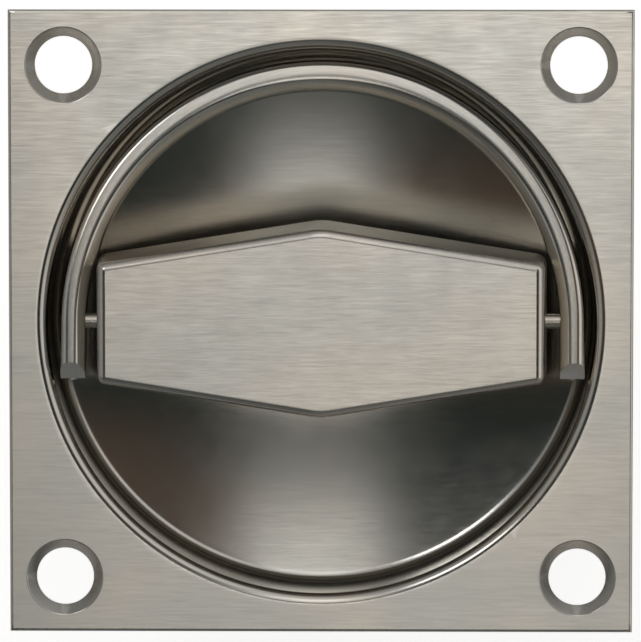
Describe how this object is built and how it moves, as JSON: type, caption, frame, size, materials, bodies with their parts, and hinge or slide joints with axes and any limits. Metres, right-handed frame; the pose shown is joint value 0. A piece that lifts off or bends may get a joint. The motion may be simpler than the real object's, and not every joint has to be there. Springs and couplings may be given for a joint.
{
  "type": "recessed pull handle",
  "caption": "Recessed turning ring handle: square satin steel plate with a round bowl, a six-sided grip across it that turns a square spindle, and a half ring that folds into the bowl.",
  "frame": {"origin": "centre of the four screw holes, on the back of the face plate, where it meets the door", "axes": "+Z out of the door through the face plate, +X along the grip, +Y towards the crown of the folded ring; the bowl, hub and spindle go to -Z into the door"},
  "size_m": [0.085, 0.085, 0.0668],
  "materials": {
    "satin_sheet": "linear satin grain on stainless sheet",
    "satin_casting": "linear satin grain on a stainless casting",
    "satin_bar": "fine satin finish along the bar",
    "pin_steel": "ground stainless pin",
    "bush_nylon": "dark moulded nylon",
    "washer_steel": "bright zinc plated steel",
    "spring_steel": "dark phosphated spring steel",
    "spindle_steel": "cold drawn, zinc plated steel"
  },
  "bodies": {
    "housing": {"face_plate": "satin_sheet", "bearing_bush": "bush_nylon"},
    "turner": {"turn_grip": "satin_casting", "pivot_pin_left": "pin_steel", "pivot_pin_right": "pin_steel", "back_washer": "washer_steel", "retaining_ring": "spring_steel", "square_spindle": "spindle_steel", "grub_screw": "spring_steel"},
    "ring": {"ring_handle": "satin_bar"}
  },
  "joints": [
    {"name": "grip_turn", "type": "hinge", "parent": "housing", "child": "turner", "pos_m": [0, 0, 0], "axis": [0, 0, 1], "continuous": true},
    {"name": "ring_fold", "type": "hinge", "parent": "turner", "child": "ring", "pos_m": [0, 0, -0.0007], "axis": [1, 0, 0], "range_deg": [0, 99.4]}
  ]
}
